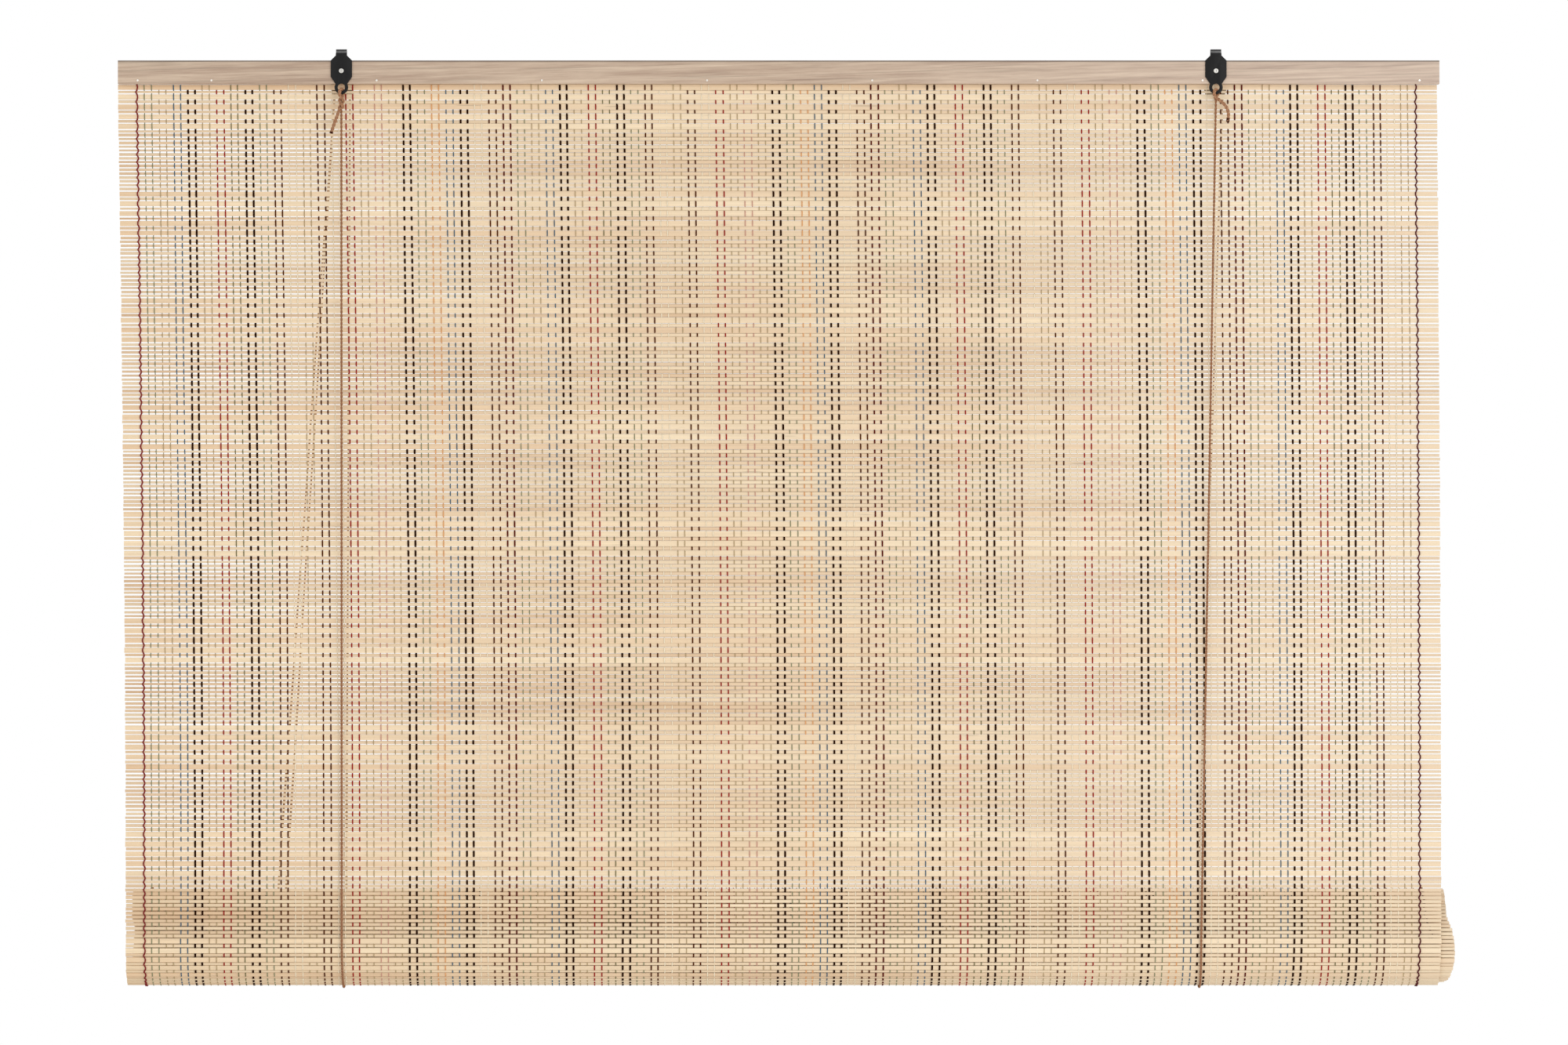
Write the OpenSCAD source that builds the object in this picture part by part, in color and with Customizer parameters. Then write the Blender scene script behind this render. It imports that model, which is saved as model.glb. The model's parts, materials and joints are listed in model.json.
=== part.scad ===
// Bamboo roll up blind, half raised: a slat mat on a wooden head rail, rolled up from behind by two cords.
// The origin is the axis of the hanging hooks, midway between them. The front looks along -Y.

/* [Rail] */
// Length of the head rail and of the slats
rail_w = 1200; // [900:10:1600]
// Height of the rail laths
rail_h = 21.3; // [18:0.1:30]
// Thickness of the front lath
rail_t = 8; // [6:0.5:12]
// Thickness of the lath behind the mat
back_rail_t = 5; // [4:0.5:10]
// Broken arris along the laths
arris = 0.6; // [0.3:0.1:1]
// Distance between two brads
nail_pitch = 150; // [100:5:200]
// Distance from the end of the rail to the first brad of the row
brad_inset = 85; // [60:1:120]
// Height of the brads over the lower edge of the rail
brad_rise = 3.2; // [2:0.1:6]
// Head of a brad
nail_head_d = 1.8; // [1.4:0.1:3]
// Shank of a brad
nail_d = 1.2; // [0.8:0.1:1.3]

/* [Mat] */
// Thickness of a slat
slat_t = 1.6; // [1.2:0.1:2.4]
// Room that a wide slat takes
wide_pitch = 5.4; // [4.5:0.1:7]
// Room that a narrow slat takes
narrow_pitch = 3.5; // [3:0.1:4.5]
// Open gap between two slats
slat_gap = 1; // [0.5:0.1:1.2]
// Depth of the groove between two slats that touch
groove_depth = 0.5; // [0.2:0.1:0.5]
// Pairs of a wide and a narrow slat in a block
wide_pairs = 5; // [3:1:7]
// Narrow slats that end a block
narrow_run = 15; // [9:1:19]
// Blocks that hang below the rail
hang_blocks = 8; // [5:1:9]
// Blocks in the roll
roll_blocks = 8; // [4:1:8]
// Slat end beyond the first and the last gap
slat_border = 6; // [4:1:12]
// Part of the mat that is held between the laths
mat_tuck = 17.8; // [12:0.1:17.8]

/* [Warp] */
// Distance between two threads
thread_pitch = 6.44; // [5:0.01:9]
// Width of a thread
thread_w = 1; // [0.6:0.1:1.6]
// Height of a thread on the slats
thread_h = 0.4; // [0.2:0.1:0.6]
// Distance of the left edge cord from the slat ends
edge_inset = 18; // [14:1:40]
// Distance of the right edge cord from the slat ends
right_edge_inset = 20.5; // [14:0.5:40]
// Width of an edge cord
edge_w = 1.6; // [1:0.1:2.4]

/* [Roll] */
// Outer radius of the roll
roll_r = 45.5; // [44:0.5:60]
// Distance between two turns
turn_pitch = 2.8; // [2.6:0.1:3.2]
// How far the inner turns stand out at the right
telescope = 19; // [2:1:24]
// Lath at the lower end of the mat, thickness
bottom_rail_t = 5; // [3:0.5:8]
// Lath at the lower end of the mat, height
bottom_rail_h = 20; // [14:1:24]

/* [Clips] */
// Distance from the end of the rail to a clip
clip_inset = 203; // [120:1:260]
// Thickness of the clip's sheet
sheet = 1.2; // [0.8:0.1:2]
// Inner radius of the hook
hook_r = 2.5; // [2:0.1:4]
// Arc of the hook
hook_arc = 205; // [180:5:230]
// Width of the neck under the hook
neck_w = 10.2; // [8:0.1:14]
// Width of the plate
plate_w = 19.3; // [16:0.1:26]
// Height of the plate's shoulders over the top of the rail
shoulder_rise = 4.5; // [3:0.1:5]
// Height from the hook's axis to the top of the rail
hook_rise = 6.5; // [6:0.1:12]
// Straight side of the plate
plate_side = 15; // [12:0.5:17]
// Height of the rail top over the eye
eye_drop = 24.5; // [23:0.1:30]
// Outside of the eye's ring
eye_od = 12.4; // [11:0.1:16]
// Hole of the eye
eye_id = 6.6; // [6:0.1:8]
// Head of the clip's screw
clip_screw_head_d = 4.3; // [3.5:0.1:6]
// Shank of the clip's screw
clip_screw_d = 2.2; // [1.6:0.1:3]
// Height of the rail top over the clip's screw
clip_screw_drop = 9.5; // [6:0.5:13]

/* [Cords] */
// Diameter of the lift cords
cord_d = 2.2; // [1.6:0.1:2.4]
// Lean of the right front cord towards the middle
right_lean = 13; // [0:1:30]
// Angle over the horizontal at which a cord leaves the back of the roll
wrap_up = 16; // [6:1:20]
// Diameter of a knot at the eye
knot_d = 6; // [5:0.5:7]
// Length of the left cord's tail
left_tail = 36; // [20:1:60]
// Length of the right cord's tail
right_tail = 24; // [15:1:60]
// Lean of the left tail
left_tail_lean = -15; // [-30:1:-5]
// Lean of the right tail
right_tail_lean = 22; // [5:1:30]
// Diameter of the knot in the pull cords
pull_knot_d = 9; // [8:0.5:14]

/* [Pulleys] */
// Width of a pulley bracket
bracket_w = 20; // [18:1:30]
// Drop of the bracket screws below the top of the rail
bracket_screw_drop = 7; // [5:0.5:10]
// Drop of a wheel's axle below the top of the rail
axle_drop = 23.5; // [22:0.5:30]
// Radius at the bottom of a wheel's grooves
groove_r = 5.6; // [4.5:0.1:7]
// Outer radius of a wheel
flange_r = 8.5; // [8:0.1:9.5]
// Thickness of a wheel's outer flanges
flange_t = 1; // [0.6:0.1:1.5]
// Thickness of the flange between the grooves
mid_flange_t = 0.7; // [0.5:0.1:1.2]
// Diameter of an axle pin
pin_d = 3; // [2:0.1:4]
// Head of an axle pin
pin_head_d = 6; // [5:0.5:8]
// Head of a bracket screw
bracket_screw_head_d = 5; // [4:0.1:6]
// Shank of a bracket screw
bracket_screw_d = 2.4; // [1.6:0.1:3]

/* [Hidden] */
$fn = 48;

// Room left between pieces that move past each other, and round shanks
running_gap = 0.3;
shank_gap = 0.1;

// Rail, mat and clip places
rail_top = -hook_rise;
rail_low = rail_top - rail_h;
rail_y = -hook_r;
mat_y = rail_y + rail_t;
mat_back_y = mat_y + slat_t;
back_y = mat_back_y + back_rail_t;
clip_x = rail_w / 2 - clip_inset;
clip_y = rail_y - sheet / 2;
eye_z = rail_top - eye_drop;
hook_w = neck_w - 0.4;
nail_z = rail_low + brad_rise;
nail_head_h = 0.4;
nail_len = rail_t + slat_t + back_rail_t - 1;
nail_x = [
    -rail_w / 2 + edge_inset,
    for (x = [-rail_w / 2 + brad_inset : nail_pitch : rail_w / 2 - brad_inset]) x,
    rail_w / 2 - edge_inset];

// Slats of a block and of the whole mat
pair_len = wide_pitch + narrow_pitch;
block_slats = 2 * wide_pairs + narrow_run;
block_len = wide_pairs * pair_len + narrow_run * narrow_pitch;
hang_slats = hang_blocks * block_slats;
roll_slats = roll_blocks * block_slats;
hang_len = hang_blocks * block_len;
mat_top = rail_low + mat_tuck;
roll_z = rail_low - hang_len;
roll_y = mat_y + roll_r;
roll_mid_r = roll_r - slat_t / 2;

// Weaver's draft: one letter for each pair of threads, repeated across the mat
draft = "OGKCBMETGKTRLKEBCTBCRTPTKE";
draft_start = 6;
pair_pitch = 2 * thread_pitch;
pair_count = floor((rail_w - 2 * edge_inset) / pair_pitch);

// Cord lines
sling_r = roll_r + 2 * thread_h + cord_d / 2;
left_x = -clip_x;
right_x = clip_x;
right_sling_x = right_x - right_lean;
loop_r = 3;
loop_z = eye_z - (eye_od + eye_id) / 4;
knot_z = loop_z - loop_r - 2;
front_top = knot_z - knot_d / 2 - running_gap;
sling_end = [roll_y + sling_r * cos(wrap_up), roll_z + sling_r * sin(wrap_up)];

// Pulley places
axle_z = rail_top - axle_drop;
bracket_y = back_y + sheet;
wheel_y = bracket_y + running_gap;
groove_w = cord_d + 2 * running_gap;
near_groove_y = wheel_y + flange_t + groove_w / 2;
far_groove_y = near_groove_y + groove_w + mid_flange_t;
wheel_t = 2 * flange_t + 2 * groove_w + mid_flange_t;
pin_head_y = wheel_y + wheel_t + running_gap;
pin_head_t = 1.2;
cord_line_r = groove_r + running_gap + cord_d / 2;
cord_drop = sqrt(flange_r ^ 2 - (cord_line_r - cord_d / 2) ^ 2) + running_gap;
drop_z = axle_z - cord_drop;
bracket_top = rail_top - 1.5;
bracket_end_z = axle_z - 2;
bracket_screw_z = rail_top - bracket_screw_drop;
bracket_screw_x = 5;
bracket_screw_len = 4;
clip_screw_len = 6;
clip_screw_z = rail_top - clip_screw_drop;
screw_head_h = 1.5;

// Pull cord routes: over the left wheel, down behind the mat, against the back of the roll, to the knot
near_route = [[left_x - cord_line_r, near_groove_y, axle_z - running_gap],
    [left_x - cord_line_r, near_groove_y, drop_z],
    [-408, 24, -100], [-415, 35, -200], [-421, 46, -300], [-428, 56, -400], [-435, 67, -500],
    [-441, 78, -600], [-448, 89, -700], [-452, 95, -760], [-454, 98, -790]];
far_route = [[left_x - cord_line_r, far_groove_y, axle_z - running_gap],
    [left_x - cord_line_r, far_groove_y, drop_z],
    [-409, 27, -100], [-417, 37, -200], [-425, 48, -300], [-432, 58, -400], [-440, 69, -500],
    [-447, 79, -600], [-455, 90, -700], [-459, 96, -760], [-461, 99, -790]];
near_tail_route = [[-454, 98, -790.4], [-455, 99, -802], [-456, 99, -815], [-457, 99, -827]];
far_tail_route = [[-461, 99, -790.4], [-461, 99.5, -802], [-460, 99, -815], [-459.5, 99, -827]];
knot_at = [-458.2, 99, -832];

// Distance of slat edge i from the first one
function slat_edge(i) =
    let (b = floor(i / block_slats), k = i - b * block_slats, wide = min(k, 2 * wide_pairs))
    b * block_len + floor(wide / 2) * pair_len + (wide % 2) * wide_pitch + (k - wide) * narrow_pitch;

// Three of every five slat edges are open gaps, the others are grooves between slats that touch
function is_open(i) = (3 * i) % 5 < 3;

// Outline of a lath with broken arrises, from its lower left corner
function lath_outline(w, h) = [
    [arris, 0], [w - arris, 0], [w, arris], [w, h - arris], [w - arris, h], [arris, h], [0, h - arris],
    [0, arris]];

// Turn angle of the roll at a length along its mat, and the middle radius there
function roll_angle(s) = (roll_mid_r - sqrt(roll_mid_r ^ 2 - turn_pitch * s / PI)) * 360 / turn_pitch;
function roll_mid(a) = roll_mid_r - turn_pitch * a / 360;
function polar(r, a) = [r * cos(a), r * sin(a)];

// Points of a tube's ring, square to the route
function unit(v) = v / norm(v);
function heading(route, i) =
    unit(route[min(i + 1, len(route) - 1)] - route[max(i - 1, 0)]);
function ring(route, i, sides) =
    let (t = heading(route, i), side = unit(cross(t, [1, 0, 0])), up = cross(side, t))
    [for (k = [0 : sides - 1])
        route[i] + cord_d / 2 * (cos(360 * k / sides) * side + sin(360 * k / sides) * up)];

// A profile given as [y, z], drawn along X
module along_x(x, length) {
    translate([x, 0, 0]) rotate([90, 0, 90]) linear_extrude(length) children();
}

// A profile given as [x, z], drawn along +Y from y
module along_y(y, length) {
    translate([0, y + length, 0]) rotate([90, 0, 0]) linear_extrude(length) children();
}

// A round bar along +Y
module bar_y(x, y, z, d, length) {
    translate([x, y, z]) rotate([-90, 0, 0]) cylinder(d = d, h = length);
}

// A straight cord from one point to another, kept short of both ends
module cord_run(from, to, trim = 0) {
    step = to - from;
    span = norm(step);
    translate(from)
        rotate([0, acos(step[2] / span), atan2(step[1], step[0])])
            translate([0, 0, trim]) cylinder(d = cord_d, h = span - 2 * trim);
}

// Seen along X from the left: the angle starts at the front and goes down, under and up the back
module around_roll(x) {
    translate([x, roll_y, roll_z]) rotate([90, 0, 90]) rotate([0, 0, 180]) children();
}

// A cord bent over a wheel, from the wheel's right side, by an angle from start to end
module wheel_cord(x, y, start, end) {
    translate([x, y, axle_z]) rotate([90, -start, 0])
        rotate_extrude(angle = end - start) translate([cord_line_r, 0]) circle(d = cord_d);
}

// A tube along a list of points
module tube(route) {
    sides = 8;
    rings = len(route);
    points = [for (i = [0 : rings - 1]) each ring(route, i, sides)];
    walls = [for (i = [0 : rings - 2], k = [0 : sides - 1])
        let (n = (k + 1) % sides)
        [i * sides + k, (i + 1) * sides + k, (i + 1) * sides + n, i * sides + n]];
    polyhedron(points, concat(walls,
        [[for (k = [0 : sides - 1]) k], [for (k = [sides - 1 : -1 : 0]) (rings - 1) * sides + k]]));
}

module nail_holes() {
    for (x = nail_x)
        bar_y(x, rail_y - 1, nail_z, nail_d + 2 * shank_gap, nail_len + 1);
}

module head_rail() {
    color("tan") difference() {
        along_x(-rail_w / 2, rail_w) translate([rail_y, rail_low]) polygon(lath_outline(rail_t, rail_h));
        nail_holes();
        for (x = [left_x, right_x])
            bar_y(x, rail_y - 1, clip_screw_z, clip_screw_d + 2 * shank_gap, clip_screw_len + 1);
    }
}

module back_rail() {
    color("burlywood") difference() {
        along_x(-rail_w / 2, rail_w) translate([mat_back_y, rail_low])
            polygon(lath_outline(back_rail_t, rail_h));
        nail_holes();
        for (x = [left_x, right_x], side = [-1, 1])
            bar_y(x + side * bracket_screw_x, back_y - bracket_screw_len, bracket_screw_z,
                bracket_screw_d + 2 * shank_gap, bracket_screw_len + 1);
    }
}

module rail_nails() {
    color("gainsboro") for (x = nail_x) {
        bar_y(x, rail_y - nail_head_h, nail_z, nail_head_d, nail_head_h);
        bar_y(x, rail_y - 0.1, nail_z, nail_d, nail_len);
    }
}

// Stamped plate with a hook rolled back over the top and a ring eye below the rail
module clip(x) {
    color("black") translate([x, 0, 0]) difference() {
        union() {
            along_y(rail_y - sheet, sheet) {
                polygon([
                    [-neck_w / 2, 0], [neck_w / 2, 0], [neck_w / 2, rail_top + shoulder_rise],
                    [plate_w / 2, rail_top], [plate_w / 2, rail_top - plate_side],
                    [eye_od / 2 - 1, eye_z + 3], [-eye_od / 2 + 1, eye_z + 3],
                    [-plate_w / 2, rail_top - plate_side], [-plate_w / 2, rail_top],
                    [-neck_w / 2, rail_top + shoulder_rise]]);
                translate([0, eye_z]) circle(d = eye_od);
            }
            translate([-hook_w / 2, 0, 0]) rotate([90, 0, 90]) rotate([0, 0, 180 - hook_arc])
                rotate_extrude(angle = hook_arc) translate([hook_r, 0]) square([sheet, hook_w]);
        }
        bar_y(0, rail_y - sheet - 1, eye_z, eye_id, sheet + 2);
        bar_y(0, rail_y - sheet - 1, clip_screw_z, clip_screw_d + 2 * shank_gap, sheet + 2);
    }
}

module left_clip() { clip(left_x); }
module right_clip() { clip(right_x); }

module clip_screws() {
    color("silver") for (x = [left_x, right_x]) difference() {
        union() {
            bar_y(x, rail_y - sheet - screw_head_h, clip_screw_z, clip_screw_head_d, screw_head_h);
            bar_y(x, rail_y - sheet - 0.1, clip_screw_z, clip_screw_d, sheet + clip_screw_len);
        }
        bar_y(x, rail_y - sheet - screw_head_h - 1, clip_screw_z, clip_screw_head_d / 3, 1.7);
    }
}

module bracket(x) {
    color("black") difference() {
        along_y(back_y, sheet) {
            translate([x - bracket_w / 2, bracket_end_z]) square([bracket_w, bracket_top - bracket_end_z]);
            translate([x, bracket_end_z]) circle(d = bracket_w);
        }
        bar_y(x, back_y - 1, axle_z, pin_d, sheet + 2);
        for (side = [-1, 1])
            bar_y(x + side * bracket_screw_x, back_y - 1, bracket_screw_z,
                bracket_screw_d + 2 * shank_gap, sheet + 2);
    }
}

module left_bracket() { bracket(left_x); }
module right_bracket() { bracket(right_x); }

module bracket_screws() {
    color("silver") for (x = [left_x, right_x], side = [-1, 1]) {
        bar_y(x + side * bracket_screw_x, bracket_y, bracket_screw_z, bracket_screw_head_d, screw_head_h);
        bar_y(x + side * bracket_screw_x, back_y - bracket_screw_len + 0.2, bracket_screw_z,
            bracket_screw_d, bracket_screw_len + sheet);
    }
}

// Wheel with two grooves, turned round Y
module wheel(x) {
    bore_r = pin_d / 2 + shank_gap;
    mid = flange_t + groove_w;
    color("dimgray") translate([x, wheel_y, axle_z]) rotate([-90, 0, 0]) rotate_extrude() polygon([
        [bore_r, 0], [flange_r, 0], [flange_r, flange_t], [groove_r, flange_t], [groove_r, mid],
        [flange_r, mid], [flange_r, mid + mid_flange_t], [groove_r, mid + mid_flange_t],
        [groove_r, wheel_t - flange_t], [flange_r, wheel_t - flange_t], [flange_r, wheel_t],
        [bore_r, wheel_t]]);
}

module left_wheel() { wheel(left_x); }
module right_wheel() { wheel(right_x); }

module wheel_pin(x) {
    color("silver") {
        bar_y(x, back_y, axle_z, pin_d, pin_head_y - back_y + 0.1);
        bar_y(x, pin_head_y, axle_z, pin_head_d, pin_head_t);
    }
}

module left_wheel_pin() { wheel_pin(left_x); }
module right_wheel_pin() { wheel_pin(right_x); }

// One wall of slats: an open gap at three of every five slat edges, a groove at the rest
module mat() {
    half = slat_gap / 2;
    grooves = [for (i = [1 : hang_slats - 1]) if (!is_open(i)) rail_low - slat_edge(i)];
    front = [for (z = grooves) each [[mat_y, z + half], [mat_y + groove_depth, z], [mat_y, z - half]]];
    back = [for (i = [len(grooves) - 1 : -1 : 0])
        let (z = grooves[i])
        each [[mat_back_y, z - half], [mat_back_y - groove_depth, z], [mat_back_y, z + half]]];
    color("wheat") difference() {
        along_x(-rail_w / 2, rail_w) polygon(concat(
            [[mat_y, mat_top]], front, [[mat_y, roll_z + running_gap], [mat_back_y, roll_z + running_gap]],
            back, [[mat_back_y, mat_top]]));
        for (i = [1 : hang_slats - 1]) if (is_open(i))
            translate([-rail_w / 2 + slat_border, mat_y - 1, rail_low - slat_edge(i) - half])
                cube([rail_w - 2 * slat_border, slat_t + 2, slat_gap]);
        nail_holes();
    }
}

// One thread, as a flat strip on the front of the slats
module thread(x, width) {
    translate([x - width / 2, mat_y - thread_h, roll_z + running_gap])
        cube([width, thread_h, hang_len - running_gap]);
}

// All pairs of threads that carry one letter of the draft
module warp(letter) {
    for (i = [0 : pair_count - 1])
        if (draft[(i + draft_start) % len(draft)] == letter)
            for (side = [-1, 1])
                thread((i - (pair_count - 1) / 2) * pair_pitch + side * thread_pitch / 2, thread_w);
}

module warp_black() { color("#1c130c") warp("K"); }
module warp_brown() { color("#5e3216") warp("B"); }
module warp_maroon() { color("#521b19") warp("M"); }
module warp_red() { color("#9c2d2f") warp("R"); }
module warp_blue() { color("#56718a") warp("G"); }
module warp_sage() { color("#85866c") warp("E"); }
module warp_tan() { color("#b8a27e") warp("T"); }
module warp_olive() { color("#7f7653") warp("L"); }
module warp_pink() { color("#cda38f") warp("P"); }
module warp_orange() { color("#e2945a") warp("O"); }
module warp_cream() { color("#efe0c2") warp("C"); }

module left_edge_cord() { color("#5a2024") thread(-rail_w / 2 + edge_inset, edge_w); }
module right_edge_cord() { color("#5a2024") thread(rail_w / 2 - right_edge_inset, edge_w); }

// Cord loop through the eye, its knot and the loose tail
module knot(x, tail, lean) {
    color("saddlebrown") {
        translate([x, clip_y, loop_z]) rotate([90, 0, 90])
            rotate_extrude() translate([loop_r, 0]) circle(d = cord_d);
        translate([x, clip_y, knot_z]) sphere(d = knot_d);
        translate([x + 2 * sign(lean), clip_y - 1.5, knot_z]) rotate([8, 180 - lean, 0])
            cylinder(d = cord_d, h = tail);
    }
}

module left_knot() { knot(left_x, left_tail, left_tail_lean); }
module right_knot() { knot(right_x, right_tail, right_tail_lean); }

module front_cord(x, low_x) {
    color("saddlebrown")
        cord_run([x, clip_y, front_top], [low_x, roll_y - sling_r, roll_z], running_gap);
}

module left_front_cord() { front_cord(left_x, left_x); }
module right_front_cord() { front_cord(right_x, right_sling_x); }

module sling(x) {
    color("saddlebrown") around_roll(x)
        rotate_extrude(angle = 180 + wrap_up) translate([sling_r, 0]) circle(d = cord_d);
}

module left_sling() { sling(left_x); }
module right_sling() { sling(right_sling_x); }

// From the wheel straight down past its flanges, then to the end of the sling
module back_cord(x, y, low_x) {
    bend = [x + cord_line_r, y, drop_z];
    low = [low_x, sling_end[0], sling_end[1]];
    color("saddlebrown")
        tube([[bend[0], y, axle_z - running_gap], bend, low + running_gap * unit(bend - low)]);
}

module left_back_cord() { back_cord(left_x, near_groove_y, left_x); }
module right_back_cord() { back_cord(right_x, far_groove_y, right_sling_x); }

module left_turn_cord() { color("saddlebrown") wheel_cord(left_x, near_groove_y, 0, 180); }

// The right cord over its wheel, along the rail and over the left wheel
module rail_cord() {
    color("saddlebrown") {
        wheel_cord(right_x, far_groove_y, 0, 90);
        translate([left_x, far_groove_y, axle_z + cord_line_r]) rotate([0, 90, 0])
            cylinder(d = cord_d, h = right_x - left_x);
        wheel_cord(left_x, far_groove_y, 90, 180);
    }
}

module left_pull_cord() { color("saddlebrown") tube(near_route); }
module right_pull_cord() { color("saddlebrown") tube(far_route); }
module left_pull_tail() { color("saddlebrown") tube(near_tail_route); }
module right_pull_tail() { color("saddlebrown") tube(far_tail_route); }
module pull_knot() { color("saddlebrown") translate(knot_at) sphere(d = pull_knot_d); }

// Wall of the roll from slat edge first to slat edge last, seen along X
module roll_wall(first, last) {
    half = slat_t / 2;
    angles = [for (i = [first : last]) roll_angle(slat_edge(i))];
    ends = len(angles) - 1;
    outer = [for (k = [1 : ends - 1])
        let (a = angles[k], r = roll_mid(a) + half, turn = slat_gap / 2 / r * 180 / PI)
        each [polar(r, a - turn), polar(r - groove_depth, a), polar(r, a + turn)]];
    inner = [for (k = [ends : -1 : 0]) polar(roll_mid(angles[k]) - half, angles[k])];
    polygon(concat([polar(roll_mid(angles[0]) + half, angles[0])], outer,
        [polar(roll_mid(angles[ends]) + half, angles[ends])], inner));
}

// Three turns of the mat in one piece, each pushed a little further to the right
module mat_roll() {
    turns = 3;
    cuts = [for (t = [0 : turns]) round(t * roll_slats / turns)];
    color("wheat") for (t = [0 : turns - 1])
        around_roll(-rail_w / 2 + telescope * t / (turns - 1))
            linear_extrude(rail_w) roll_wall(cuts[t], cuts[t + 1]);
}

// Lath inside the innermost turn, where the mat ends
module bottom_rail() {
    last = roll_angle(slat_edge(roll_slats));
    inner_r = roll_mid(last) - slat_t / 2 - running_gap;
    seat = sqrt(inner_r ^ 2 - (bottom_rail_h / 2) ^ 2);
    middle = last - 90 * bottom_rail_h / (PI * inner_r);
    color("burlywood") around_roll(-rail_w / 2 + telescope) linear_extrude(rail_w)
        rotate(middle) translate([seat - bottom_rail_t, -bottom_rail_h / 2])
            polygon(lath_outline(bottom_rail_t, bottom_rail_h));
}

head_rail();
back_rail();
rail_nails();
left_clip();
right_clip();
clip_screws();
left_bracket();
right_bracket();
bracket_screws();
left_wheel();
right_wheel();
left_wheel_pin();
right_wheel_pin();
mat();
warp_black();
warp_brown();
warp_maroon();
warp_red();
warp_blue();
warp_sage();
warp_tan();
warp_olive();
warp_pink();
warp_orange();
warp_cream();
left_edge_cord();
right_edge_cord();
left_knot();
right_knot();
left_front_cord();
right_front_cord();
left_sling();
right_sling();
left_back_cord();
right_back_cord();
left_turn_cord();
rail_cord();
left_pull_cord();
right_pull_cord();
left_pull_tail();
right_pull_tail();
pull_knot();
mat_roll();
bottom_rail();
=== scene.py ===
# %% [markdown]
# # A bamboo roll up blind
# A blind of this kind is a mat of split bamboo slats that coloured threads weave together. The mat hangs from
# a wooden lath, its lower half is rolled up behind, and two cords carry the roll like a sling. The packed
# model is loaded first. It gives the place and the size of every part, and what is made here follows it.

# %% Load the frame
import json
import math
import random

import bpy
import numpy as np
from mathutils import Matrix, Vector


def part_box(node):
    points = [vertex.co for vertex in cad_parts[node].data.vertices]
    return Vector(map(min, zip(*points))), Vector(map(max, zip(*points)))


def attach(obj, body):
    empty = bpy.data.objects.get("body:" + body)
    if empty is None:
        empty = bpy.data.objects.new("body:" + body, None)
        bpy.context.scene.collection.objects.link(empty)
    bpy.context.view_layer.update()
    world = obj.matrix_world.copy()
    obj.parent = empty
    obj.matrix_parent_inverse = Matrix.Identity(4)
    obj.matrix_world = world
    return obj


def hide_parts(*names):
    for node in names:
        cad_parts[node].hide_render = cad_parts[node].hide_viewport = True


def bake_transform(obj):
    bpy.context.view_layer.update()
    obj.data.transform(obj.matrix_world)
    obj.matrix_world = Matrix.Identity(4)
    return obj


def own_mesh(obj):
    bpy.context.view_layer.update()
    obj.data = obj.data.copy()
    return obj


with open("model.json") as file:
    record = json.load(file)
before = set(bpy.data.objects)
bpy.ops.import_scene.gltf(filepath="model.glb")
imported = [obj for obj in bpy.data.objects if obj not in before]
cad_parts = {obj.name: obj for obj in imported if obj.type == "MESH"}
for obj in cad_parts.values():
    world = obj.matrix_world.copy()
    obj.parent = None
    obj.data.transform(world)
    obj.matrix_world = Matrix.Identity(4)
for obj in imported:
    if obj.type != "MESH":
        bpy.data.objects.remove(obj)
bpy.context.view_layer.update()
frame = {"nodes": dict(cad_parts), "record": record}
MM = 0.001
joints = {joint["name"]: joint for joint in frame["record"]["behaviour"]["joints"]}

# %% [markdown]
# ## Camera, light and stage
# The photograph looks straight at the blind from far away, with even light and a white background. The rail
# is the ruler: its real length and its length in pixels give the width of the view, and a long lens keeps the
# edges parallel. The white comes from the world, and only for rays from the camera and for reflections, so
# that it adds no light to the bamboo.

# %% Camera
PHOTO_W = 2000
PHOTO_H = 1333
RAIL_LEFT_PX = 150.3
RAIL_RIGHT_PX = 1836.0
RAIL_LOW_PX = 107.0
CAMERA_DISTANCE = 9.0
CAMERA_REACH = 60.0
SENSOR = 36.0

rail_low_corner, rail_high_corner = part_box("head_rail")
rail_len = rail_high_corner[0] - rail_low_corner[0]
rail_low = rail_low_corner[2]
rail_top = rail_high_corner[2]
metres_per_px = rail_len / (RAIL_RIGHT_PX - RAIL_LEFT_PX)
view_x = (PHOTO_W / 2 - (RAIL_LEFT_PX + RAIL_RIGHT_PX) / 2) * metres_per_px
view_z = rail_low - (PHOTO_H / 2 - RAIL_LOW_PX) * metres_per_px
front_y = rail_low_corner[1]
bpy.ops.object.camera_add(
    location=(view_x, front_y - CAMERA_DISTANCE, view_z), rotation=(math.pi / 2, 0, 0))
camera = bpy.context.object
camera.data.sensor_width = SENSOR
camera.data.lens = SENSOR * CAMERA_DISTANCE / (PHOTO_W * metres_per_px)
camera.data.clip_end = CAMERA_REACH
bpy.context.scene.camera = camera
bpy.context.scene.view_settings.view_transform = "Standard"
print("lens", round(camera.data.lens, 1), "mm, one pixel is", round(metres_per_px / MM, 3), "mm")


# %% Small helpers for colours, nodes and finishes
def linear(hex_colour):
    """A colour written as sRGB hex, turned to the linear values that a shader takes."""
    parts = [int(hex_colour[i:i + 2], 16) / 255 for i in (1, 3, 5)]
    return [p / 12.92 if p <= 0.04045 else ((p + 0.055) / 1.055) ** 2.4 for p in parts] + [1.0]


def add_node(tree, kind, values=None, links=None, **settings):
    """One node with its settings, its input values and the sockets that feed it."""
    node = tree.nodes.new(kind)
    for key, value in settings.items():
        setattr(node, key, value)
    for key, value in (values or {}).items():
        node.inputs[key].default_value = value
    for key, socket in (links or {}).items():
        tree.links.new(socket, node.inputs[key])
    return node


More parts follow.
